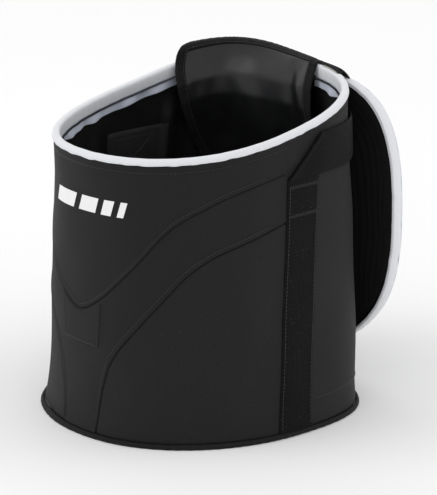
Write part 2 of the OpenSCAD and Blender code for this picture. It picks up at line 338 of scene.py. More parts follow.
def weaveGroup():
    # plain weave: over and under threads are half waves, swapped on a chequer of thread crossings
    g, i, o = nodeGroup("woven threads", [("Vector", "NodeSocketVector", None),
                                          ("Across", "NodeSocketFloat", 2000),
                                          ("Along", "NodeSocketFloat", 2000)],
                        [("Height", "NodeSocketFloat"), ("Tone", "NodeSocketFloat")])
    xyz = wire(g, "ShaderNodeSeparateXYZ", Vector=i.outputs[0])
    u, v = calc(g, "MULTIPLY", xyz.outputs[0],
                i.outputs[1]), calc(g, "MULTIPLY", xyz.outputs[1], i.outputs[2])
    warp = calc(g, "ABSOLUTE", calc(g, "SINE", calc(g, "MULTIPLY", u, math.pi)))
    weft = calc(g, "ABSOLUTE", calc(g, "SINE", calc(g, "MULTIPLY", v, math.pi)))
    cross = calc(g, "PINGPONG", calc(g, "ADD", calc(g, "FLOOR", u), calc(g, "FLOOR", v)), 1)
    over = calc(g, "MULTIPLY", warp, cross)
    under = calc(g, "MULTIPLY", weft, calc(g, "SUBTRACT", 1, cross))
    height = calc(g, "ADD", calc(g, "ADD", over, under),
                  calc(g, "MULTIPLY", calc(g, "MULTIPLY", warp, weft), 0.4))
    noise = wire(g, "ShaderNodeTexNoise", Vector=i.outputs[0], Scale=900, Detail=3)
    g.links.new(height, o.inputs[0])
    # Tone is the thread height times noise: the low gaps between threads get painted shade, the noise gives
    # random tone
    g.links.new(calc(g, "MULTIPLY", height, calc(g, "ADD", noise.outputs[0], 0.5)), o.inputs[1])
    return g


def ribGroup():
    # cords side by side along the strap, crossed by fine picks
    g, i, o = nodeGroup("strap ribs", [("Vector", "NodeSocketVector", None),
                                       ("Cords", "NodeSocketFloat", 700), ("Picks", "NodeSocketFloat", 1100)],
                        [("Height", "NodeSocketFloat"), ("Tone", "NodeSocketFloat")])
    xyz = wire(g, "ShaderNodeSeparateXYZ", Vector=i.outputs[0])
    cord = calc(g, "ABSOLUTE", calc(g, "SINE", calc(g, "MULTIPLY",
                                                    calc(g, "MULTIPLY", xyz.outputs[0], i.outputs[1]),
                                                    math.pi)))
    half = calc(g, "MULTIPLY", calc(g, "FLOOR", calc(g, "MULTIPLY", xyz.outputs[0], i.outputs[1])), 0.5)
    pick = calc(g, "ABSOLUTE", calc(g, "SINE", calc(g, "MULTIPLY",
                                                    calc(g, "ADD",
                                                         calc(g, "MULTIPLY", xyz.outputs[1], i.outputs[2]),
                                                         half), math.pi)))
    height = calc(g, "MULTIPLY", cord, calc(g, "ADD", calc(g, "MULTIPLY", pick, 0.5), 0.5))
    noise = wire(g, "ShaderNodeTexNoise", Vector=i.outputs[0], Scale=600, Detail=2)
    g.links.new(height, o.inputs[0])
    # Tone is the cord height times noise: the low grooves between cords get painted shade, the noise gives
    # random tone
    g.links.new(calc(g, "MULTIPLY", height, calc(g, "ADD", noise.outputs[0], 0.5)), o.inputs[1])
    return g


def grainGroup():
    # fine leather-like cells with slow waves under them
    g, i, o = nodeGroup("coated grain", [("Vector", "NodeSocketVector", None),
                                         ("Scale", "NodeSocketFloat", 1200)],
                        [("Height", "NodeSocketFloat"), ("Tone", "NodeSocketFloat")])
    cells = wire(g, "ShaderNodeTexVoronoi", {"feature": "DISTANCE_TO_EDGE"}, Vector=i.outputs[0],
                 Scale=i.outputs[1])
    slow = wire(g, "ShaderNodeTexNoise", Vector=i.outputs[0], Scale=60, Detail=4)
    flat = calc(g, "MINIMUM", calc(g, "MULTIPLY", cells.outputs["Distance"], 3), 0.5)
    g.links.new(calc(g, "ADD", calc(g, "MULTIPLY", flat, 0.25), calc(g, "MULTIPLY", slow.outputs[0], 0.8)),
                o.inputs[0])
    g.links.new(slow.outputs[0], o.inputs[1])
    return g


def wearGroup():
    # slow patches of handling wear, and sparse lint or dust specks
    g, i, o = nodeGroup("wear and dust", [("Vector", "NodeSocketVector", None),
                                          ("Patches", "NodeSocketFloat", 12),
                                          ("Specks", "NodeSocketFloat", 700)],
                        [("Wear", "NodeSocketFloat"), ("Dust", "NodeSocketFloat")])
    slow = wire(g, "ShaderNodeTexNoise", Vector=i.outputs[0], Scale=i.outputs[1], Detail=5, Roughness=0.6)
    wear = wire(g, "ShaderNodeMapRange", Value=slow.outputs[0], From_Min=0.4, From_Max=0.75)
    fine = wire(g, "ShaderNodeTexNoise", Vector=i.outputs[0], Scale=i.outputs[2], Detail=1)
    dust = wire(g, "ShaderNodeMapRange", Value=fine.outputs[0], From_Min=0.68, From_Max=0.78)
    g.links.new(wear.outputs[0], o.inputs[0])
    g.links.new(dust.outputs[0], o.inputs[1])
    return g


groups = {"weave": weaveGroup(), "ribs": ribGroup(), "grain": grainGroup(), "wear": wearGroup()}


def finish(name, look):
    # one finish: pattern group for colour, roughness and bump, then wear and dust over it
    m = bpy.data.materials.new(name)
    m.use_nodes = True
    t = m.node_tree
    shader = t.nodes["Principled BSDF"]
    where = wire(t, "ShaderNodeTexCoord")
    flat = where.outputs["UV"] if look.get("onUv", True) else where.outputs["Object"]
    pattern = wire(t, "ShaderNodeGroup", {"node_tree": groups[look["pattern"]]}, i0=flat)
    for k, v in enumerate(look["scale"]):
        pattern.inputs[k + 1].default_value = v
    wear = wire(t, "ShaderNodeGroup", {"node_tree": groups["wear"]}, i0=where.outputs["Object"])
    wear.inputs[1].default_value = look.get("patches", 12)
    # for the weave and rib patterns this tone holds painted shade in the gaps between threads as well as
    # random tone; for the grain pattern it is random tone only
    tone = wire(t, "ShaderNodeMapRange", Value=pattern.outputs[1], From_Min=look.get("toneLow", 0.1),
                From_Max=look.get("toneHigh", 1.1))
    colour = blendColour(t, tone.outputs[0], (*look["dark"], 1), (*look["light"], 1))
    colour = blendColour(t, calc(t, "MULTIPLY", wear.outputs[0], look.get("wear", 0.3)), colour,
                         (*look["worn"], 1))
    colour = blendColour(t, calc(t, "MULTIPLY", wear.outputs[1], look.get("dust", 0.1)), colour,
                         (0.45, 0.45, 0.44, 1))
    t.links.new(colour, shader.inputs["Base Color"])
    rough = wire(t, "ShaderNodeMapRange", Value=calc(t, "ADD", calc(t, "MULTIPLY", tone.outputs[0], 0.5),
                                                     calc(t, "MULTIPLY", wear.outputs[0], 0.5)),
                 To_Min=look["rough"][0], To_Max=look["rough"][1])
    t.links.new(rough.outputs[0], shader.inputs["Roughness"])
    bump = wire(t, "ShaderNodeBump", Height=pattern.outputs[0], Strength=look["bump"], Distance=look["depth"])
    t.links.new(bump.outputs[0], shader.inputs["Normal"])
    for k, v in look.get("set", {}).items():
        shader.inputs[k].default_value = v
    return m


looks = {
    "fabric": {"pattern": "weave", "scale": (2100, 1900), "dark": (0.0065, 0.0061, 0.0062),
               "light": (0.0150, 0.0142, 0.0143), "worn": (0.0165, 0.0157, 0.0155),
               "rough": (0.55, 0.75), "bump": 0.5, "depth": 0.0003, "dust": 0.05,
               "set": {"Sheen Weight": 0.03, "Sheen Roughness": 0.5, "Specular IOR Level": 0.15}},
    "fabricSide": {"pattern": "weave", "scale": (2100, 1900), "dark": (0.0072, 0.0067, 0.0068),
                   "light": (0.0160, 0.0151, 0.0152), "worn": (0.0180, 0.0168, 0.0168),
                   "rough": (0.55, 0.75), "bump": 0.5, "depth": 0.0003, "dust": 0.05,
                   "set": {"Sheen Weight": 0.03, "Sheen Roughness": 0.5, "Specular IOR Level": 0.15}},
    "baseCloth": {"pattern": "weave", "scale": (1500, 1500), "dark": (0.012, 0.012, 0.013),
                  "light": (0.026, 0.026, 0.027), "worn": (0.05, 0.049, 0.047),
                  "rough": (0.5, 0.7), "bump": 0.6, "depth": 0.0004, "dust": 0.35, "wear": 0.6,
                  "set": {"Sheen Weight": 0.08}},
    "piping": {"pattern": "weave", "scale": (1700, 1700), "dark": (0.004, 0.004, 0.0043),
               "light": (0.010, 0.010, 0.010), "worn": (0.017, 0.0165, 0.016),
               "rough": (0.6, 0.8), "bump": 0.5, "depth": 0.0003, "wear": 0.5,
               "set": {"Sheen Weight": 0.02, "Specular IOR Level": 0.15}},
    "webbing": {"pattern": "ribs", "scale": (640, 900), "dark": (0.0018, 0.0018, 0.0019),
                "light": (0.006, 0.0058, 0.006), "worn": (0.008, 0.0078, 0.0077),
                "rough": (0.6, 0.8), "bump": 0.4, "depth": 0.0004, "wear": 0.35,
                "set": {"Sheen Weight": 0.01, "Specular IOR Level": 0.09}},
    "blackTape": {"pattern": "ribs", "scale": (900, 1300), "dark": (0.0022, 0.0022, 0.0025),
                  "light": (0.012, 0.012, 0.013), "worn": (0.017, 0.017, 0.017),
                  "rough": (0.6, 0.85), "bump": 0.6, "depth": 0.0005,
                  "set": {"Sheen Weight": 0.02, "Specular IOR Level": 0.14}},
    # the lid's outer cloth is the bag's own fabric, set darker here as painted shade for the lid hanging in
    # shadow behind the bag
    "lidClothPaintedShade": {"pattern": "weave", "scale": (2100, 1900), "onUv": False, "dark": (0.0030, 0.0028, 0.0029),
                 "light": (0.0075, 0.0072, 0.0073), "worn": (0.009, 0.0086, 0.0086),
                 "rough": (0.6, 0.8), "bump": 0.5, "depth": 0.0003, "dust": 0.04,
                 "set": {"Specular IOR Level": 0.15}},
    "whiteTape": {"pattern": "ribs", "scale": (1500, 1800), "dark": (0.66, 0.67, 0.70),
                  "light": (0.80, 0.81, 0.835), "worn": (0.745, 0.755, 0.775),
                  "rough": (0.45, 0.65), "bump": 0.18, "depth": 0.0003, "dust": 0.02,
                  "set": {"Sheen Weight": 0.1}},
    # the zip tape is white like the binding; its darker blue-grey colour is painted shade, standing in for
    # the shadow the tape sits in along the rim and the lid's edge
    "zipTape": {"pattern": "ribs", "scale": (1300, 1700), "dark": (0.42, 0.46, 0.56),
                "light": (0.66, 0.69, 0.77), "worn": (0.56, 0.59, 0.68),
                "rough": (0.5, 0.7), "bump": 0.35, "depth": 0.0004, "dust": 0.02,
                "set": {"Sheen Weight": 0.1}},
    "coil": {"pattern": "grain", "scale": (900,), "onUv": False, "dark": (0.006, 0.006, 0.007),
             "light": (0.02, 0.02, 0.022), "worn": (0.03, 0.03, 0.032),
             "rough": (0.3, 0.5), "bump": 0.1, "depth": 0.0002, "set": {}},
    "vinyl": {"pattern": "grain", "scale": (1300,), "onUv": False, "dark": (0.0045, 0.0047, 0.0052),
              "light": (0.011, 0.0115, 0.0125), "worn": (0.016, 0.0165, 0.0175),
              "rough": (0.26, 0.40), "bump": 0.2, "depth": 0.0012, "dust": 0.03,
              "set": {"Coat Weight": 0.08, "Coat Roughness": 0.2, "Specular IOR Level": 0.34}},
    "liner": {"pattern": "grain", "scale": (1000,), "onUv": False, "dark": (0.003, 0.003, 0.0032),
              "light": (0.008, 0.008, 0.0082), "worn": (0.012, 0.012, 0.012),
              "rough": (0.4, 0.6), "bump": 0.25, "depth": 0.001, "dust": 0.03,
              "set": {"Specular IOR Level": 0.35}},
    "patch": {"pattern": "weave", "scale": (1700, 1700), "dark": (0.004, 0.004, 0.0043),
              "light": (0.011, 0.011, 0.0115), "worn": (0.014, 0.014, 0.014),
              "rough": (0.5, 0.7), "bump": 0.5, "depth": 0.0004, "set": {}},
    "thread": {"pattern": "ribs", "scale": (3000, 3000), "onUv": False, "dark": (0.008, 0.008, 0.009),
               "light": (0.03, 0.03, 0.03), "worn": (0.035, 0.034, 0.033),
               "rough": (0.4, 0.6), "bump": 0.2, "depth": 0.0001, "set": {"Sheen Weight": 0.1}},
    "whiteThread": {"pattern": "ribs", "scale": (3000, 3000), "onUv": False, "dark": (0.6, 0.61, 0.64),
                    "light": (0.8, 0.81, 0.83), "worn": (0.75, 0.75, 0.77),
                    "rough": (0.4, 0.6), "bump": 0.2, "depth": 0.0001, "set": {}},
    "print": {"pattern": "weave", "scale": (2100, 1900), "dark": (0.72, 0.72, 0.73),
              "light": (0.90, 0.90, 0.90), "worn": (0.80, 0.80, 0.80),
              "rough": (0.4, 0.55), "bump": 0.25, "depth": 0.0002, "dust": 0.02, "set": {}},
    "rawEdge": {"pattern": "weave", "scale": (1300, 1300), "dark": (0.30, 0.28, 0.24),
                "light": (0.62, 0.60, 0.55), "worn": (0.5, 0.48, 0.43),
                "rough": (0.7, 0.9), "bump": 0.7, "depth": 0.0006, "set": {}},
    "metal": {"pattern": "grain", "scale": (500,), "onUv": False, "dark": (0.03, 0.03, 0.033),
              "light": (0.075, 0.075, 0.08), "worn": (0.35, 0.33, 0.30), "wear": 0.25,
              "rough": (0.25, 0.45), "bump": 0.06, "depth": 0.0002, "set": {"Metallic": 0.9}},
}
finishes = {name: finish(name, look) for name, look in looks.items()}
print("finishes ready:", len(finishes))


# ---- stitches: a row of little threads laid along a line
def alongLine(path, at):  # point and direction at each distance along a line of points
    run = np.concatenate([[0], np.cumsum(np.linalg.norm(np.diff(path, axis=0), axis=1))])
    read = lambda d: np.stack([np.interp(d, run, path[:, k]) for k in range(path.shape[1])], -1)
    return read(at), read(np.minimum(at + 0.3, run[-1])) - read(np.maximum(at - 0.3, 0)), run[-1]


def stitchPart(path, out, look):
    # each stitch is a five-sided spindle: two rings and two points
    total = alongLine(path, np.zeros(1))[2]
    at = np.arange(look["pitch"] / 2, total, look["pitch"])
    both, ahead, total = alongLine(np.concatenate([path, out], 1), at)
    c, n, t = both[:, :3], unit(both[:, 3:]), unit(ahead[:, :3])
    b = unit(np.cross(n, t))
    half, w, h = look["length"] / 2, look["width"] / 2, look["height"]
    a = np.arange(5) * turn / 5
    ring = (w * np.cos(a))[None, :, None] * b[:, None] + (h * np.sin(a))[None, :, None] * n[:, None]
    ends = [c - t * half - n * h * 0.6, c + t * half - n * h * 0.6]
    points = np.concatenate([ends[0][:, None], c[:, None] - t[:, None] * half * 0.6 + ring,
                             c[:, None] + t[:, None] * half * 0.6 + ring, ends[1][:, None]], 1)
    j = np.arange(5)
    q = (j + 1) % 5
    one = np.concatenate([np.stack([j * 0, 1 + q, 1 + j, 1 + j], -1),
                          np.stack([1 + j, 1 + q, 6 + q, 6 + j], -1),
                          np.stack([j * 0 + 11, 6 + j, 6 + q, 6 + q], -1)])
    faces = (one[None] + 12 * np.arange(len(at))[:, None, None]).reshape(-1, 4)
    return points.reshape(-1, 3), faces, points.reshape(-1, 3)[:, :2]


topStitch = {"pitch": 3.4, "length": 2.7, "width": 0.55, "height": 0.28}
denseStitch = {"pitch": 1.5, "length": 1.5, "width": 0.6, "height": 0.35}


def bagStitches(s, z, d, look=topStitch):  # stitches along a line on the wall
    s, z = np.broadcast_arrays(np.asarray(s, float), np.asarray(z, float))
    return stitchPart(onBag(s, z, d), outwards(s, z), look)


# ---- outer cloth panels
panelCloth = {"thick": 1.2, "column": 2.6, "row": 2.8, "tuck": 1.0, "lip": 0.55, "lipWidth": 1.5,
              "edgeRows": [0, 0.35, 0.8, 1.3, 1.9, 2.7, 3.8, 5.5]}


def edgeDrop(e, kind):  # the cloth rolls down at an edge; a lip also stands up just inside it
    if kind == "tuck":
        return -panelCloth["tuck"] * np.exp(-e / 0.9)
    if kind == "lip":
        return panelCloth["lip"] * hump(e - 2.0, panelCloth["lipWidth"]) - 1.1 * np.exp(-e / 0.4)
    return 0 * e


def panelPart(s, low, high, kinds, extra=None, lift=0.0, lean=None):
    # rows stand close together at both edges; kinds are for the low, high, first and last edges
    near = np.array(panelCloth["edgeRows"])
    mids = np.linspace(0, 1, max(3, int(np.max(high - low) / panelCloth["row"]) - 8))[1:-1]
    reach = np.concatenate([near, mids * 0 + near[-1], 2 * near[-1] - near[::-1]])
    share = np.concatenate([near * 0, mids, near * 0 + 1])
    tilt = [np.minimum(np.sqrt(1 + np.gradient(e, s) ** 2), 5) for e in (low, high)]
    room = high - low
    fit = np.minimum(1, room / (near[-1] * (tilt[0] + tilt[1]) + 2))
    lowReach, highReach = (near[-1] * fit * k for k in tilt)
    r = reach / near[-1]
    nearLow = np.minimum(r, 1)[None] * lowReach[:, None]
    nearHigh = np.maximum(r - 1, 0)[None] * highReach[:, None]
    z = low[:, None] + nearLow + nearHigh + share[None] * (room - lowReach - highReach)[:, None]
    S = np.broadcast_to(s[:, None], z.shape)
    away = [(z - low[:, None]) / tilt[0][:, None], (high[:, None] - z) / tilt[1][:, None], S - s[0],
            s[-1] - S]
    d = lift + sum(edgeDrop(e, k) for e, k in zip(away, kinds) if k)
    if extra is not None:
        d = d + extra(S, z)
    if lean:
        S = lean(S, z)
    uv = np.stack([S, z], -1)
    inside = np.minimum(d - 0.15, lift - panelCloth["thick"])
    return sheetPart(onBag(S, z, d), onBag(S, z, inside), uv)


def columns(a, b, dense=()):  # even columns, with finer ones at the ends and round given places
    s = np.linspace(a, b, int((b - a) / panelCloth["column"]) + 2)
    near = np.array(panelCloth["edgeRows"][1:7])
    more = [a + near, b - near] + [c + np.arange(-w, w + 0.1, 0.6) for c, w in dense]
    s = np.unique(np.round(np.concatenate([s] + more), 3))
    s = s[(s >= a) & (s <= b)]
    return s[np.concatenate([[True], np.diff(s) > 0.25])]


sideEnd = sAt(88.8)
basePlane = 4.2
rimSeamDrop = 11.5


def rimDent(s, z):  # the cloth dips along the stitches under the rim's tape
    return -0.35 * hump(rimZ(s) - rimSeamDrop - z, 1.0)


s = columns(-sideEnd, sideEnd)
makePiece("frontUpperPanel", [panelPart(s, upperZ(s), rimZ(s) - 1, ("lip", None, None, None),
                                        extra=rimDent)], finishes["fabric"],
                                        replaces=["front_upper_panel"])

s = columns(-sideEnd, sideEnd, [(sAt(-10.5), 5), (sAt(10.5), 5)])
makePiece("frontChevronBand", [panelPart(s, np.maximum(lowerZ(s) + 0.3, basePlane), upperZ(s) - 0.3,
                                         ("lip", "tuck", None, None))],
          finishes["fabric"], replaces=["front_v_band"])

sidePanel = {"start": 9.3}
for side, name in ((1, "Right"), (-1, "Left")):
    s = columns(sAt(sidePanel["start"]), sideEnd, [(sAt(10.5), 4)])
    s = s if side > 0 else -s[::-1]
    z = np.maximum(lowerZ(s) - 0.3, basePlane + 2)
    makePiece("sideLowerPanel" + name, [panelPart(s, z * 0 + basePlane, z, ("tuck", "tuck", None, None))],
              finishes["fabricSide"],
              replaces=["side_lower_panel_" + name.lower()])

frontPatch = {"halfAngle": 11.2, "low": 85, "lift": 0.9, "spread": 0.0032, "spreadFrom": 105}
s = columns(sAt(-frontPatch["halfAngle"]), sAt(frontPatch["halfAngle"]))
makePiece("frontPatch", [panelPart(s, s * 0 + frontPatch["low"], upperZ(s) - 1.2,
                                   ("tuck", "tuck", "tuck", "tuck"), lift=frontPatch["lift"],
                                   lean=lambda S,
                                   z: S * (1 + frontPatch["spread"] * (z - frontPatch["spreadFrom"])))],
          finishes["fabricSide"], replaces=["front_patch"])

backPanel = {"seamHeight": 25, "seamDepth": 0.8}


def backSeam(s, z):  # a groove at the seam, a low ridge above it, and ends set back
    h = z - backPanel["seamHeight"]
    under = 1 - ease((np.minimum(s - s[0, 0], s[-1, 0] - s) - 1) / 6)  # both ends slip under the front panels
    return -backPanel["seamDepth"] * hump(h, 0.9) + 0.35 * hump(h - 2.5, 1.6) - 0.35 * under


s = columns(sAt(87.9), sAt(272.1))
makePiece("backPanel", [panelPart(s, s * 0 + basePlane, rimZ(s) - 1, ("tuck", None, None, None),
                                  extra=backSeam)], finishes["fabricSide"],
          replaces=["back_panel"])
print("outer panels ready")

# seam stitches: just above each seam's lip, round the patch and along the back seam
s = np.linspace(-sAt(80), sAt(80), 400)
seamRows = [bagStitches(s, upperZ(s) + 4.2, 0.25)]
for side in (-1, 1):
    s = np.linspace(sAt(10.2), sAt(80), 300)
    seamRows.append(bagStitches(side * s, lowerZ(side * s)
                                + 4.4 * np.minimum(np.sqrt(1 + np.gradient(lowerZ(s), s) ** 2), 3), 0.25))
edge = sAt(frontPatch["halfAngle"]) - 2.6
top = upperZ(np.array([edge]))[0] - 4.5
for a, b in (((-edge, 87.6), (edge, 87.6)), ((-edge, 87.6), (-edge, top)), ((edge, 87.6), (edge, top))):
    q = np.linspace(0, 1, 40)
    zz = mix(a[1], b[1], q)
    seamRows.append(bagStitches(mix(a[0], b[0], q)
                                * (1 + frontPatch["spread"] * (zz - frontPatch["spreadFrom"])), zz,
                                frontPatch["lift"] + 0.1))
s = np.linspace(-sideEnd, sideEnd, 500)
seamRows.append(bagStitches(s, rimZ(s) - rimSeamDrop, -0.1))
s = np.linspace(sAt(94), sAt(266), 500)
seamRows.append(bagStitches(s, s * 0 + backPanel["seamHeight"] + 3.2, 0.4))
makePiece("seamStitches", seamRows, finishes["thread"])

# ---- base
basePiping = {"radius": 2.3, "offset": 1.1, "height": 2.4}
s = lapRound(420)[:, None]
a = (np.arange(14) * turn / 14)[None]
r = basePiping["radius"] * (1 + 0.05 * folds(s, 0 * s, 21, (60, 130), (0, 0)))
ring = onBag(s, np.maximum(basePiping["height"] + r * np.sin(a), 0.05),
             basePiping["offset"] + 0.8 * r * np.cos(a))
makePiece("basePiping", [loopPart(ring, np.stack(np.broadcast_arrays(s, a * 2.5), -1), True)],
          finishes["piping"], replaces=["base_piping"])


def discPart(profile, place, count):
    # rings from the middle out and back to the middle: profile is (share of the outline, level); the ends
    # meet in one point
    s = lapRound(count)
    share, level = np.array(profile, float).T
    rings = place(s[:, None], share[None], level[None])
    return loopEnds(rings)


def loopEnds(rings):  # closes the first and last column of a wrapped grid with one point each
    nu, nv = rings.shape[:2]
    faces = gridFaces(nu, nv, True)
    i = np.arange(nu)
    n = (i + 1) % nu
    first, last = nu * nv, nu * nv + 1
    faces = np.concatenate([faces, np.stack([i * 0 + first, n * nv, i * nv, i * nv], -1),
                            np.stack([i * 0 + last, i * nv + nv - 1, n * nv + nv - 1, n * nv + nv - 1], -1)])
    points = np.concatenate([rings.reshape(-1, 3), rings[:, 0].mean(0)[None], rings[:, -1].mean(0)[None]])
    return points, faces, points[:, :2]


def basePlace(s, share, level):  # the base outline shrunk to a share; slack folds on the underside only
    p = wallPoint(s, level + 0 * s, 0)
    q = p * np.stack([share + 0 * s, share + 0 * s, 1 + 0 * s * share], -1)
    q[..., 2] += 0.5 * np.abs(folds(q[..., 0] * 3, q[..., 1], 31, (1, 6),
                                    (0.5, 2))) * (1 - share**4) * (level < 1)
    return q


rings = np.linspace(0.04, 0.985, 26)
makePiece("basePanel", [discPart([(r, 0) for r in rings] + [(0.993, 0.3), (0.997, 0.9), (0.992, 1.4)]
                                 + [(r, 1.5) for r in rings[::-1]], basePlace, 240)],
          finishes["baseCloth"], replaces=["base_panel", "base_board"])
print("base ready")

# ---- inside: liner wall with upright wrinkles, floor and the patches behind the handle
linerWall = {"outer": -3.5, "inner": -4.7, "wrinkle": 1.1, "low": 5.0}


def linerDepth(s, z):  # the liner's inner face: upright wrinkles that only stand inwards
    free = ease((rimZ(s) - 24 - z) / 30)
    w = np.maximum(folds(s, z, 41, (14, 34), (0.1, 1.0), 9) + 0.4, 0)
    broad = 1.2 * np.maximum(folds(s, z, 44, (4, 9), (0.4, 1.5)), 0) * free
    return linerWall["inner"] - linerWall["wrinkle"] * w * free - broad


s = lapRound(360)
q = np.linspace(0, 1, 70)
z = mix(linerWall["low"], rimZ(s)[:, None] - 1, q[None])
S = np.broadcast_to(s[:, None], z.shape)
outer, inner = onBag(S, z, linerWall["outer"]), onBag(S, z, linerDepth(S, z))
makePiece("linerWall", [sheetPart(outer, inner, np.stack([S, z], -1), True)], finishes["liner"],
          replaces=["liner_wall", "wall_foam"])


def floorPlace(s, share, level):  # the same inside the liner, with the folds standing up on the top face
    p = wallPoint(s, level + 0 * s, -5.2)
    q = p * np.stack([share + 0 * s, share + 0 * s, 1 + 0 * s * share], -1)
    q[..., 2] += 1.2 * np.maximum(folds(q[..., 0] * 3, q[..., 1], 51, (1, 6), (0.4, 1.6)),
                                  0) * (1 - share**4) * (level > 5.5)
    return q


rings = np.linspace(0.04, 0.995, 30)
makePiece("linerFloor", [discPart([(r, 5.0) for r in rings] + [(r, 6.2) for r in rings[::-1]], floorPlace,
                                  200)], finishes["liner"], replaces=["liner_floor"])

innerPatch = {"y": (-22, 50), "z": (178, 232), "proud": 0.9}
patchRows = []
for side, name in ((1, "right"), (-1, "left")):
    y = np.linspace(*innerPatch["y"], 34)[:, None]
    z = np.linspace(*innerPatch["z"], 26)[None]
    s = side * sOfY(y + 0 * z, z + 0 * y)
    z = z + 0 * y
    if side < 0:
        s, z = s[::-1], z[::-1]
    d = linerDepth(s, z) - 0.05
    e = np.minimum(np.minimum(np.arange(34), np.arange(33, -1, -1))[:, None],
                   np.minimum(np.arange(26), np.arange(25, -1, -1))[None])
    inner = onBag(s, z, d - innerPatch["proud"] * np.minimum(e, 1))
    makePiece("innerPatch" + name.title(), [sheetPart(onBag(s, z, d), inner, np.stack([s, z], -1))],
              finishes["patch"], replaces=["inner_patch_" + name])
    corners = [(-12, 186), (34, 186), (34, 224), (-12, 224), (-12, 186), (34, 224), (34, 186), (-12, 224)]
    for (ya, za), (yb, zb) in zip(corners, corners[1:]):
        q = np.linspace(0, 1, 50)
        yy, zz = mix(ya, yb, q), mix(za, zb, q)
        ss = side * sOfY(yy, zz)
        patchRows.append(stitchPart(onBag(ss, zz, linerDepth(ss, zz) - 1.05), -outwards(ss, zz), topStitch))
makePiece("innerPatchStitches", patchRows, finishes["thread"])
print("inside ready")

# ---- rim: folded white tape, zip tape and coil
rimBinding = {
    # section of the fold as (offset, height above the rim), anticlockwise
    "section": [(0.25, -4.3), (0.75, -4.8), (1.1, -4.3), (1.25, -3.2), (1.2, -1.9), (0.95, -0.6), (0.3, 0.5),
                (-0.9, 1.0), (-2.5, 1.1), (-4.1, 0.8),
                (-5.4, -0.2), (-5.9, -1.8), (-6.1, -5), (-6.05, -8.2), (-5.9, -9.9), (-5.3, -10),
                (-5.05, -8), (-5.0, -3), (-4.7, -1.5), (0.1, -1.5), (0.25, -3)],
    "pucker": 0.16,
}
s = lapRound(700)[:, None]
d, h = np.array(rimBinding["section"], float).T[:, None]
wave = folds(s, 0 * s, 61, (40, 110), (0, 0))
d = d + rimBinding["pucker"] * wave * np.where(h < -4, 1, 0.3) * np.sign(d + 2.3)
h = h + 0.25 * folds(s, 0 * s, 62, (20, 60), (0, 0)) * np.where(h < -4, 1, 0.25)
z = rimZ(s) + h
makePiece("rimBinding", [loopPart(onBag(s + 0 * h, z, d), np.stack([s + 0 * h, (h + np.abs(d)) + 0 * s], -1),
                                  True)], finishes["whiteTape"], replaces=["rim_binding"])

zipHalf = {"end": 173, "coilDrop": 11.6, "coilRadius": 0.85, "pitch": 1.5, "wire": 0.36, "low": 19.5,
           "ripple": 1.5}


def tapeDepth(s, drop):  # the tape ripples more the further it hangs below its seam
    return -5.4 - zipHalf["ripple"] * ease((drop - 11) / 8) * (0.7 + folds(s, 0 * s, 71, (16, 34), (0, 0)))


end = sAt(zipHalf["end"])
s = np.linspace(-end, end, 560)[:, None]
drop = np.linspace(9.5, zipHalf["low"], 9)[::-1][None]
edge = 0.5 * folds(s, 0 * s, 72, (18, 40), (0, 0)) * (drop - 9.5) / 10
z = rimZ(s) - drop + edge
outer, inner = onBag(s + 0 * z, z, tapeDepth(s, drop) + 0.4), onBag(s + 0 * z, z, tapeDepth(s, drop) - 0.4)
makePiece("bodyZipTape", [sheetPart(outer, inner, np.stack([s + 0 * z, drop + 0 * s], -1))],
          finishes["zipTape"], replaces=["body_zip_tape"])


def coilPart(centre, out, up, look):
    # a wire wound round a line: the line, plus out times cosine and up times sine, with a thin four-sided
    # section
    run = np.concatenate([[0], np.cumsum(np.linalg.norm(np.diff(centre, axis=0), axis=1))])
    at = np.arange(0, run[-1], look["pitch"] / 8)
    c, o, u = ([np.interp(at, run, v[:, k]) for k in range(3)] for v in (centre, out, up))
    c, o, u = np.stack(c, -1), unit(np.stack(o, -1)), unit(np.stack(u, -1))
    a = (turn * at / look["pitch"])[:, None]
    radial = o * np.cos(a) + u * np.sin(a)
    path = c + look["coilRadius"] * (o * np.cos(a) * 0.8 + u * np.sin(a))
    ahead = unit(np.gradient(path, axis=0))
    side = np.cross(ahead, radial)
    b = (np.arange(4) * turn / 4)[None, :, None]
    rings = path[:, None] + look["wire"] * (radial[:, None] * np.cos(b) + side[:, None] * np.sin(b))
    return loopPart(rings, np.stack(np.broadcast_arrays(at[:, None], b[..., 0] * 0.4), -1))


s = np.linspace(-end + 3, end - 3, 1500)
centre = onBag(s, rimZ(s) - zipHalf["coilDrop"], -6.9 + 0.2 * folds(s, 0 * s, 73, (20, 60), (0, 0)))
out = outwards(s)
makePiece("bodyZipCoil", [coilPart(centre, -out, out * 0 + np.array([0, 0, 1.0]), zipHalf)],
          finishes["coil"], replaces=["body_zip_coil"])

stops = []
for side in (-1, 1):  # little folded clamps over the ends of the coil
    s = side * end + np.linspace(-2.4, 2.4, 9)[:, None]
    a = (np.arange(16) * turn / 16)[None]
    p = onBag(s + 0 * a, rimZ(s) - zipHalf["coilDrop"] + 2.4 * np.sign(np.sin(a)) * np.abs(np.sin(a)) ** 0.5,
              -7.1 + 1.5 * np.sign(np.cos(a)) * np.abs(np.cos(a)) ** 0.5)
    stops.append(loopPart(p, np.stack(np.broadcast_arrays(s, a), -1)))
makePiece("bodyZipStops", stops, finishes["metal"], replaces=["body_zip_stops"])

s = np.linspace(-lap / 2, lap / 2, 1600)
rimRows = [bagStitches(s, rimZ(s) - 3.7, 1.28), stitchPart(onBag(s, rimZ(s) - 9.0, -6.05), -outwards(s),
                                                           topStitch)]
makePiece("rimStitches", rimRows, finishes["whiteThread"])
print("rim ready")

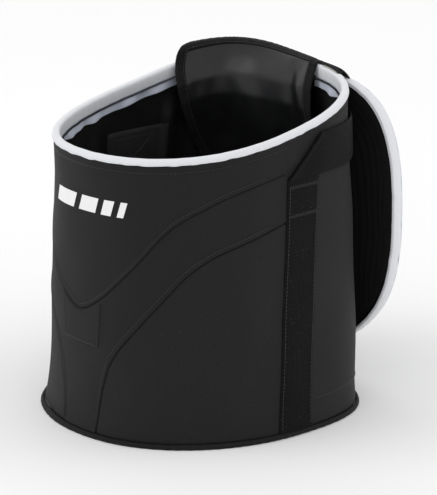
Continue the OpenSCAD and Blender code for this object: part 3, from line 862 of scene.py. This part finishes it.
# ---- side webbing and the carry strap
webbing = {"half": 19, "thick": 1.4, "lowY": -7, "lean": 0.096, "offset": 0.3, "low": 4}
carryStrap = {"low": 235, "high": 272.5, "tipY": -2.9, "tipZ": 236, "foldEndY": 37, "onWall": 2.0,
              "atBack": 6.5, "thick": 1.4, "edgeRoll": 0.7}
foldRise, foldRun = carryStrap["high"] - carryStrap["tipZ"], carryStrap["foldEndY"] - carryStrap["tipY"]


def strapCrown(u):  # rounded edges of a flat strap: level in the middle, falling off steeply at u = -1 and 1
    return 1 - 0.75 * np.abs(u) ** 12 - 0.05 * u * u


def foldZ(y):  # height of the 45 degree fold line at y
    return carryStrap["tipZ"] + (y - carryStrap["tipY"]) * foldRise / foldRun


u = np.sin(np.linspace(-1, 1, 25) * math.pi / 2)[:, None]
strapStitches = []
for side, name in ((1, "Right"), (-1, "Left")):
    top = foldZ(webbing["lowY"] + webbing["lean"] * 250 + webbing["half"] * u) - 1.2
    z = mix(webbing["low"], top, np.linspace(0, 1, 120)[None])
    y = webbing["lowY"] + webbing["lean"] * z + webbing["half"] * u
    s = side * sOfY(y, z)
    d = webbing["offset"] + webbing["thick"] * strapCrown(u) + 0.18 * folds(s, z, 81 + side, (0, 4), (3, 9))
    uv = np.stack([u * webbing["half"] + 0 * z, z], -1)
    grids = [onBag(s, z, d), onBag(s, z, 0.15), uv]
    if side < 0:
        grids = [g[::-1] for g in grids]
    makePiece("sideWebbing" + name, [sheetPart(*grids)], finishes["webbing"],
              replaces=["side_webbing_" + name.lower()])
    for k in (-0.86, 0.86):  # rows along both edges
        zz = np.linspace(8, 226, 220)
        ss = side * sOfY(webbing["lowY"] + webbing["lean"] * zz + webbing["half"] * k, zz)
        strapStitches.append(bagStitches(ss, zz, webbing["offset"] + webbing["thick"] + 0.1))
    for height in (202, 228):  # dense zigzag across the strap
        q = np.linspace(-1, 1, 241)
        zz = height + 1.5 * (2 * np.abs((q * 13) % 2 - 1) - 1)
        ss = side * sOfY(webbing["lowY"] + webbing["lean"] * height + 17 * q, zz)
        strapStitches.append(bagStitches(ss, zz, webbing["offset"] + webbing["thick"] + 0.12, denseStitch))
makePiece("webbingStitches", strapStitches, finishes["thread"], replaces=["webbing_bartacks"])

v = np.sin(np.linspace(-1, 1, 21) * math.pi / 2)[None]
z = mix(carryStrap["low"], carryStrap["high"], (v + 1) / 2)
startY = carryStrap["tipY"] + (np.maximum(z, carryStrap["tipZ"]) - carryStrap["tipZ"]) * foldRun / foldRise
start = sOfY(startY, z)
q = np.linspace(0, 1, 330)
q = (q + 0.25 * np.sin(turn * q) / turn * -1)[:, None]
s = mix(start, lap - start, q)
z = z + 0 * s
away = np.minimum(s - start, lap - start - s)  # distance from the nearer fold
lift = mix(carryStrap["onWall"], carryStrap["atBack"],
           ease((np.minimum(s, lap - s) - sAt(128)) / (sAt(165) - sAt(128))))
d = lift + carryStrap["thick"] * strapCrown(v) + carryStrap["edgeRoll"] * hump(away - 1.5, 3.0)
d = d + 0.25 * folds(s, z, 91, (9, 20), (0, 1.0))
outer, inner = onBag(s, z, d), onBag(s, z, lift + 0 * v)
strap = makePiece("carryStrap", [sheetPart(outer, inner, np.stack([z, s], -1))], finishes["webbing"],
                  body=None,
                  replaces=["carry_handle", "handle_fold_left", "handle_fold_right"])
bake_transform(strap)

frontMark = {"bars": [(-17, -3), (0, 9), (12, 17), (20, 23)], "low": 211, "high": 225, "slant": 2,
             "thick": 0.22}
bars = []
for a, b in frontMark["bars"]:
    k, q = np.linspace(0, 1, 40)[:, None], np.linspace(0, 1, 9)[None]
    s = sAt(mix(a, b, k) + frontMark["slant"] * q)
    z = mix(frontMark["low"], frontMark["high"], q) + 0 * s
    bars.append(sheetPart(onBag(s, z, 0.12 + frontMark["thick"]), onBag(s, z, 0.1), np.stack([s, z], -1)))
makePiece("frontMark", bars, finishes["print"], replaces=["front_mark"])
print("straps and mark ready")

# ---- vinyl flap inside the back, with its taped edges
flap = {
    "width": 168, "height": 122, "lowZ": 196, "riseRight": 3.0, "riseLeft": 15.5, "corner": 11, "thick": 1.2,
    "rightEdge": [(0, 166), (0.5, 168), (0.8, 171), (1, 172)],  # share of the height, angle
    "leftEdge": [(0, 231), (0.25, 242), (0.5, 250), (0.7, 253), (0.85, 252.5), (0.93, 250), (1, 246)],
    # section from the bottom up: (offset, height over the rim), the last three lifted by the rise
    "section": [(-11, -108), (-12.5, -84), (-17, -60), (-20, -40), (-17.5, -20), (-10.5, -4), (-8.0, 0),
                (-6.5, -1), (-3, 0), (0.6, -0.2)],
}
knots = np.array(flap["section"], float)
knotAt = np.concatenate([[0], np.cumsum(np.hypot(*np.diff(knots + np.array([[0, 0]] * 7 + [[0, 8]] * 3),
                                                          axis=0).T))])
knotAt /= knotAt[-1]
fine = np.linspace(0, 1, 801)
flapBasis = np.stack([softened(fine, np.interp(fine, knotAt, row), 0.016) for row in np.eye(len(knots))], -1)
flapEdges = [softened(fine, sAt(np.interp(fine, *np.array(flap[k], float).T)), 0.04)
             for k in ("rightEdge", "leftEdge")]


def flapPlace(p, q):
    # p across from the right edge, q up from the bottom edge, both in millimetres of cloth
    p, q = np.broadcast_arrays(np.asarray(p, float), q)
    u, v = p / flap["width"], np.clip(q / flap["height"], -0.02, 1)
    first, last = (np.interp(v, fine, e) for e in flapEdges)
    # true width near both edges, eased in the middle
    s = first + p + (last - first - flap["width"]) * ease((u - 0.08) / 0.84)
    w = np.stack([np.interp(v, fine, flapBasis[:, k]) for k in range(len(knots))], -1)
    rise = mix(flap["riseRight"], flap["riseLeft"], np.clip(u, 0, 1.05) ** 1.2)
    scale = (rimZ(s) - flap["lowZ"]) / 108
    d = w @ knots[:, 0]
    h = (w[..., :7] @ knots[:7, 1]) * scale + w[..., 7:] @ knots[7:, 1] + w[..., 7:].sum(-1) * rise
    h = h + w[..., 6] * rise * 0.35
    free = np.clip(ease(v * 4) * ease((0.97 - v) * 5), 0, 1)
    d = d + free * (1.3 * folds(p * 2.2, q, 101, (2, 6), (0.6, 2.2))
                    + 0.28 * folds(p * 3, q, 102, (6, 14), (2.5, 7)))
    d = d - free * (3.4 * hump(p - 17, 7) * hump(v - 0.68, 0.17)
                    - 2.2 * hump(p - 31, 7) * hump(v - 0.66, 0.2))
    d = d - free * 2.0 * hump(p - 0.55 * flap["width"] - 0.25 * (q - 60), 16) * hump(v - 0.62, 0.25)
    return wallPoint(s, rimZ(s) + h, d)


def flapAt(p, q, b):  # the sheet moved b towards the inside of the bag, square to itself
    e = 0.6
    n = unit(np.cross(flapPlace(p + e, q) - flapPlace(p - e, q), flapPlace(p, q + e) - flapPlace(p, q - e)))
    return flapPlace(p, q) - n * np.asarray(b)[..., None]


p = np.linspace(0, flap["width"], 130)[:, None]
inCorner = np.clip(flap["corner"] - np.minimum(p, flap["width"] - p), 0, flap["corner"])
top = flap["height"] - flap["corner"] + np.sqrt(np.maximum(flap["corner"] ** 2 - inCorner**2, 0))
q = top * np.linspace(0, 1, 110)[None]
p = p + 0 * q
uv = np.stack([p, q], -1)
half = flap["thick"] / 2
flapPanel = makePiece("flapPanel", [sheetPart(flapAt(p, q, -half + 0 * p), flapAt(p, q, half + 0 * p), uv)],
                      finishes["vinyl"], replaces=["flap_panel"])

flapBinding = {"width": 12.5, "thick": 3.0, "ragged": 0.16}
r, w, hgt = flap["corner"], flap["width"], flap["height"]
a = np.linspace(0, math.pi / 2, 14)[1:-1]
up = np.linspace(-1, hgt - r, 90)
across = np.linspace(r, w - r, 110)
path = np.concatenate([
    np.stack([up * 0, up], -1), np.stack([r - r * np.cos(a), hgt - r + r * np.sin(a)], -1),
    np.stack([across, across * 0 + hgt], -1),
    np.stack([w - r + r * np.sin(a), hgt - r + r * np.cos(a)], -1), np.stack([up * 0 + w, up[::-1]], -1)])
ahead = unit(np.gradient(path, axis=0))
inward = np.stack([ahead[:, 1], -ahead[:, 0]], -1)
k = np.arange(16) * turn / 16
sa, ca = np.sin(k), np.cos(k)
across = -np.sign(ca) * np.abs(ca) ** 0.6 * flapBinding["width"] / 2 + flapBinding["width"] / 2 - 1.2
thick = -np.sign(sa) * np.abs(sa) ** 0.7 * flapBinding["thick"] / 2
run = np.concatenate([[0], np.cumsum(np.linalg.norm(np.diff(path, axis=0), axis=1))])
rough = flapBinding["ragged"] * (folds(run * 3, run * 0, 111, (30, 120), (0, 0), 9)
                                 + folds(run * 3, run * 0, 112, (150, 320), (0, 0), 5) * 0.7)
reach = across[None] + rough[:, None] * np.where(across > 4, 0.8, -1)[None]
ring = path[:, None] + inward[:, None] * np.minimum(reach, r - 0.5)[..., None]
bind = flapAt(ring[..., 0], ring[..., 1], thick[None] * (1 + 0.5 * rough[:, None]))
binding = makePiece("flapBinding", [loopPart(bind,
                                             np.stack(np.broadcast_arrays(across[None], run[:, None]), -1))],
                                             finishes["blackTape"],
                    replaces=["flap_binding"])
rows = []
for side in (1.75, -1.75):
    line = path + inward * 8.4
    line = line[6:-6]
    out = flapAt(line[:, 0], line[:, 1], 1.0 * np.sign(side)
                 + 0 * line[:, 0]) - flapPlace(line[:, 0], line[:, 1])
    rows.append(stitchPart(flapAt(line[:, 0], line[:, 1], side + 0 * line[:, 0]), out, topStitch))
stitchesOnFlap = makePiece("flapStitches", rows, finishes["thread"])
for piece in (flapPanel, binding, stitchesOnFlap):
    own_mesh(piece)
print("flap ready")

# ---- soft hinge: vinyl lining over the rim to the lid's inside, and outer cloth between the two outer faces
hinge = {
    "half": 46, "thick": 1.2,
    "lining": [(114.6, 305.9), (116.5, 306.9), (119.5, 306.9), (124, 304.8), (130, 300.5), (136, 294.5),
               (141.2, 288), (142.6, 279)],
    "outer": [(118.6, 292), (118.9, 298), (120.3, 301.2), (122.6, 300.6), (125, 296), (127.8, 290),
              (129.6, 284), (129.7, 277)],
}


def hingePart(line, thick, seed, ragged):
    # a section carried along X; it follows the curved back wall at one end and the flat lid at the other
    x = np.linspace(-hinge["half"], hinge["half"], 120)
    pts = np.array(line, float)
    run = np.concatenate([[0], np.cumsum(np.hypot(*np.diff(pts, axis=0).T))])
    at = np.linspace(0, run[-1], 46)
    y, z = (softened(at, np.interp(at, run, pts[:, k]), 1.6) for k in range(2))
    ty, tz = np.gradient(y), np.gradient(z)
    n = np.hypot(ty, tz)
    wallY = wallPoint(sAt(180) - np.interp(np.abs(x), *xToS), bagShape["sideHeight"],
                      0)[:, 1] - bagShape["rimBack"]
    share = 1 - ease(at / run[-1] * 1.3 - 0.25)
    X, Y, Z = x[:, None] + 0 * at, y[None] + wallY[:, None] * share[None], z[None] + 0 * x[:, None]
    Z = Z + wallY[:, None] * share[None] * 0.3
    w = (0.7 * folds(X * 2, at[None] * 3, seed, (3, 12), (0.5, 3))
         + ragged * folds(X * 3, at[None] * 0, seed + 1, (40, 140), (0, 0))) * np.sin(at / run[-1] * math.pi)
    Y, Z = Y + w * tz / n, Z - w * ty / n * 0.5
    back = [np.stack([X, Y + k * tz / n, Z - k * ty / n], -1) for k in (-thick / 2, thick / 2)]
    return sheetPart(back[0], back[1], np.stack([X, at[None] + 0 * X], -1))


near = np.linspace(0, 120, 241)
xToS = (np.abs(wallPoint(sAt(180) - near, bagShape["sideHeight"], 0)[:, 0]), near)
lining = makePiece("hingeLining", [hingePart(hinge["lining"], hinge["thick"], 121, 0.25)],
                   finishes["blackTape"], body=None, replaces=["hinge_strip"])
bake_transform(lining)
outerCloth = makePiece("hingeOuterCloth", [hingePart(hinge["outer"], 1.0, 131, 0)], finishes["fabric"],
                       body=None)
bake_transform(outerCloth)

seamEdge = {"from": 176, "to": 155}
s = np.linspace(sAt(seamEdge["to"]), sAt(seamEdge["from"]), 160)[:, None]
k = (np.arange(10) * turn / 10)[None]
fade = ease((s - s[0]) / 14)
jag = folds(s * 3, 0 * s, 141, (40, 120), (0, 0)) * 0.35
ring = onBag(s, rimZ(s) + 1.4 + fade * 1.0 + jag * 0.6 + 1.0 * np.sin(k), -0.2 + 2.2 * np.cos(k) + jag)
makePiece("hingeSeam", [loopPart(ring, np.stack(np.broadcast_arrays(k * 2, s), -1))], finishes["blackTape"])
s = np.linspace(sAt(156), sAt(169), 70)[:, None]
k = np.linspace(-1, 1, 5)[None]
z = rimZ(s) + 1.5 + 1.0 * k * (0.8 + 0.3 * folds(s * 3, 0 * s, 151, (40, 90), (0, 0)))
makePiece("hingeRawEdge", [sheetPart(onBag(s, z, -2.9 - 0.4 * k), onBag(s, z, -3.5 - 0.4 * k),
                                     np.stack([s + 0 * z, z], -1))], finishes["rawEdge"])
print("hinge ready")

# ---- lid
lid = {"top": 284.5, "stretch": 1.0116, "middleZ": 155, "front": 130.5, "crown": 0.6, "lift": 7, "tuckUp": 9,
       "curl": 4}


def lidPoint(s, o, y):  # the rim's plan laid out flat and hung behind the bag; o is outwards from its outline
    p = wallPoint(s, bagShape["sideHeight"], o)
    z = lid["top"] - (bagShape["rimBack"] - p[..., 1]) * lid["stretch"]
    low = ease((110 - z) / 90)
    return np.stack(np.broadcast_arrays(p[..., 0], y - lid["curl"] * low,
                                        z + lid["lift"] * ease((z - 200) / 84) + lid["tuckUp"] * low), -1)


def lidPlace(s, share, level):  # point part of the way from the lid's middle to its outline
    p = lidPoint(s + 0 * share, -0.6, level + 0 * s)
    x, z = p[..., 0] * share, lid["middleZ"] + (p[..., 2] - lid["middleZ"]) * share
    y = p[..., 1] + 0.5 * folds(x * 3, z, 161, (1, 5), (0.5, 2.4)) * (1 - np.clip(share, 0, 1) ** 6)
    return np.stack([x, y, z], -1)


rings = np.linspace(0.03, 0.955, 34)
profile = [(r, 138.7) for r in rings] + [(0.972, 138.2), (0.982, 137), (0.986, 135), (0.984, 133.2),
                                         (0.976, 131.9), (0.964, 131.1)]
profile += [(r, lid["front"] + 0.3 - lid["crown"] * (1 - r**4)) for r in rings[::-1]]


def lidShare(points):
    # how far out from the lid's middle each point is, as a share of the outline in its direction
    s = lapRound(720)
    edge = lidPoint(s, -0.6, 138 + 0 * s)
    around = np.arctan2(edge[:, 2] - lid["middleZ"], edge[:, 0])
    order = np.argsort(around)
    reach = np.hypot(edge[:, 0], edge[:, 2] - lid["middleZ"])[order]
    at = np.arctan2(points[:, 2] - lid["middleZ"], points[:, 0])
    return np.hypot(points[:, 0],
                    points[:, 2] - lid["middleZ"]) / np.interp(at, around[order], reach, period=turn)


padCloth = {"voxel": 0.004, "pressure": 4.0, "frames": 20, "cap": 2.2, "edge": 0.93, "backLevel": 134.5}


def puffed(piece):
    # the pad is remeshed evenly, blown up by its inner pressure with its rim and its lined face held, and
    # each point's move is shortened to the cap
    piece.modifiers.new("even", "REMESH").voxel_size = padCloth["voxel"]
    even = bpy.data.meshes.new_from_object(piece.evaluated_get(bpy.context.evaluated_depsgraph_get()))
    piece.modifiers.clear()
    trial = bpy.data.objects.new("trial", even)
    bpy.context.scene.collection.objects.link(trial)
    start = np.empty(len(even.vertices) * 3, np.float32)
    even.vertices.foreach_get("co", start)
    start = start.reshape(-1, 3)
    back = padCloth["backLevel"] - lid["curl"] * ease((110 - start[:, 2] * 1000) / 90)
    held = (lidShare(start * 1000) > padCloth["edge"]) | (start[:, 1] * 1000 > back)
    trial.vertex_groups.new(name="held").add(np.nonzero(held)[0].tolist(), 1.0, "REPLACE")
    cloth = trial.modifiers.new("cloth", "CLOTH")
    cloth.settings.quality = 5
    cloth.settings.use_pressure = True
    cloth.settings.uniform_pressure_force = padCloth["pressure"]
    cloth.settings.vertex_group_mass = "held"
    cloth.settings.effector_weights.gravity = 0
    cloth.point_cache.frame_start, cloth.point_cache.frame_end = 1, padCloth["frames"]
    for number in range(1, padCloth["frames"] + 1):
        bpy.context.scene.frame_set(number)
    settled = bpy.data.meshes.new_from_object(trial.evaluated_get(bpy.context.evaluated_depsgraph_get()))
    end = np.empty(len(settled.vertices) * 3, np.float32)
    settled.vertices.foreach_get("co", end)
    move = end.reshape(-1, 3) - start
    far = np.linalg.norm(move, axis=1, keepdims=True)
    settled.vertices.foreach_set("co", (start + move
                                        * np.minimum(1,
                                                     padCloth["cap"] / 1000 / np.maximum(far, 1e-9))).ravel())
    settled.materials.clear()
    settled.materials.append(piece.data.materials[0])
    settled.polygons.foreach_set("use_smooth", np.ones(len(settled.polygons), bool))
    piece.data = settled
    bpy.data.objects.remove(trial)
    bpy.context.scene.frame_set(1)
    piece.modifiers.new("relax", "SMOOTH").iterations = 4
    smooth = piece.modifiers.new("smooth", "SUBSURF")
    smooth.levels = smooth.render_levels = 1
    print("pad blown up, largest move before the cap", round(float(far.max()) * 1000, 1))


# the pad's cloth carries painted shade: darker than the bag's fabric, for the lid hanging in shadow
lidPad = makePiece("lidPad", [discPart(profile, lidPlace, 260)], finishes["lidClothPaintedShade"], "lid",
                   replaces=["lid_panel", "lid_core"])
puffed(lidPad)

lidBinding = {"section": [(-2.6, 141.3), (-0.6, 141.7), (0.5, 141.2), (1.0, 139), (1.3, 136), (1.1, 133.4),
                          (0.5, 131.6), (-0.8, 130.9), (-2.2, 131.2), (-2.8, 132.4), (-2.3, 134),
                          (-2.2, 139)]}
s = lapRound(620)[:, None]
o, y = np.array(lidBinding["section"], float).T[:, None]
wave = folds(s, 0 * s, 171, (30, 90), (0, 0))
ring = lidPoint(s + 0 * o, o + 0.25 * wave * np.where(y > 138, 1, 0.4),
                y + 0.25 * folds(s, 0 * s, 172, (18, 50), (0, 0)))
makePiece("lidBinding", [loopPart(ring, np.stack([s + 0 * o, y + 0 * s], -1), True)], finishes["whiteTape"],
          "lid", replaces=["lid_binding"])

o = np.linspace(-8.5, -0.2, 7)[None]
ripple = 0.5 * folds(s, 0 * s, 173, (14, 30), (0, 0)) * (-o / 8.5)
ring = [lidPoint(s + 0 * o, o, level + ripple) for level in (142.5, 141.8)]
uv = np.stack([s + 0 * o, o + 0 * s], -1)
part = sheetPart(ring[0][:, ::-1], ring[1][:, ::-1], uv[:, ::-1], True)
makePiece("lidZipTape", [part], finishes["zipTape"], "lid", replaces=["lid_zip_tape"])

s = np.linspace(-lap / 2, lap / 2, 1600)
centre = lidPoint(s, -3.6, 143.6 + 0 * s)
out = lidPoint(s, 1.0, 140.0) - lidPoint(s, 0.0, 140.0)
makePiece("lidZipCoil", [coilPart(centre, out, out * 0 + np.array([0, -1.0, 0]),
                                  {**zipHalf, "coilRadius": 1.0})], finishes["coil"], "lid",
                                  replaces=["lid_zip_coil"])
out = lidPoint(s, 0.0, 139.0) - lidPoint(s, 0.0, 140.0)
rows = [stitchPart(lidPoint(s, -5.5, 142.7 + 0 * s), -out, topStitch),
        stitchPart(lidPoint(s, -1.6, 130.85 + 0 * s), out, topStitch)]
makePiece("lidStitches", rows, finishes["whiteThread"], "lid")


def lidLinerPlace(s, share, level):  # the lining puckers a little towards its edge
    p = lidPlace(s, share, level)
    p[..., 1] += np.where(level > 139.5, 0.5 * np.maximum(folds(s, 0 * s, 181, (20, 44), (0, 0)), 0)
                          * ease(share * 8 - 6.8), 0)
    return p


rings = np.linspace(0.03, 0.982, 30)
makePiece("lidLiner", [discPart([(r, 140.4 + 0.5 * (1 - r**2)) for r in rings]
                                + [(r, 139.2) for r in rings[::-1]], lidLinerPlace, 260)], finishes["liner"],
                                "lid",
          replaces=["lid_liner"])
for name in ("zip_slider", "zip_pull"):
    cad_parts[name].data.materials.clear()
    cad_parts[name].data.materials.append(finishes["metal"])
print("lid ready")

# ---- floor, light and camera
x, y = np.meshgrid(np.linspace(-3000, 3000, 13), np.linspace(-3000, 3000, 13), indexing="ij")
floorCloth = bpy.data.materials.new("pale floor")
floorCloth.use_nodes = True
t = floorCloth.node_tree
noise = wire(t, "ShaderNodeTexNoise", Vector=wire(t, "ShaderNodeTexCoord").outputs["Object"], Scale=3)
t.links.new(blendColour(t, noise.outputs[0], (0.93, 0.93, 0.93, 1), (0.95, 0.95, 0.95, 1)),
            t.nodes["Principled BSDF"].inputs["Base Color"])
t.nodes["Principled BSDF"].inputs["Roughness"].default_value = 0.9
t.nodes["Principled BSDF"].inputs["Specular IOR Level"].default_value = 0.1
floor = makePiece("floor", [(np.stack([x, y, x * 0 - 0.1], -1).reshape(-1, 3), gridFaces(13, 13),
                             np.stack([x, y], -1).reshape(-1, 2))], floorCloth, body=None)

studio = {"world": 0.95, "key": 15, "fill": 1.4, "rim": 4}
world = bpy.data.worlds.new("studio")
bpy.context.scene.world = world
world.use_nodes = True
world.node_tree.nodes["Background"].inputs["Color"].default_value = (1, 1, 1, 1)
world.node_tree.nodes["Background"].inputs["Strength"].default_value = studio["world"]
for name, power, size, place in (("key", studio["key"], 1.6, (-1.3, -1.9, 2.3)),
                                 ("fill", studio["fill"], 1.8, (2.4, -0.9, 1.3)),
                                 ("rim", studio["rim"], 1.2, (0.9, 1.7, 2.2))):
    light = bpy.data.lights.new(name, "AREA")
    light.energy, light.size = power, size
    o = bpy.data.objects.new(name, light)
    o.location = place
    o.rotation_euler = (Vector((0, 0, 0.15)) - Vector(place)).to_track_quat("-Z", "Y").to_euler()
    bpy.context.scene.collection.objects.link(o)

shot = {"azimuth": 49.1, "elevation": 17.5, "distance": 3.0, "targetZ": 0.15, "lens": 236.7,
        "shift": (0.0297, -0.0125)}
a, e = math.radians(shot["azimuth"]), math.radians(shot["elevation"])
back = Vector((math.sin(a) * math.cos(e), -math.cos(a) * math.cos(e), math.sin(e)))
right = Vector((math.cos(a), math.sin(a), 0))
up = back.cross(right)
camera = bpy.data.objects.new("camera", bpy.data.cameras.new("camera"))
camera.matrix_world = Matrix.Translation(Vector((0, 0, shot["targetZ"]))
                                         + shot["distance"]
                                         * back) @ Matrix((right, up, back)).transposed().to_4x4()
camera.data.sensor_fit, camera.data.sensor_height, camera.data.lens = "VERTICAL", 36, shot["lens"]
camera.data.shift_x, camera.data.shift_y = shot["shift"]
bpy.context.scene.collection.objects.link(camera)
bpy.context.scene.camera = camera
bpy.context.scene.view_settings.view_transform = "Standard"
print("stage ready")
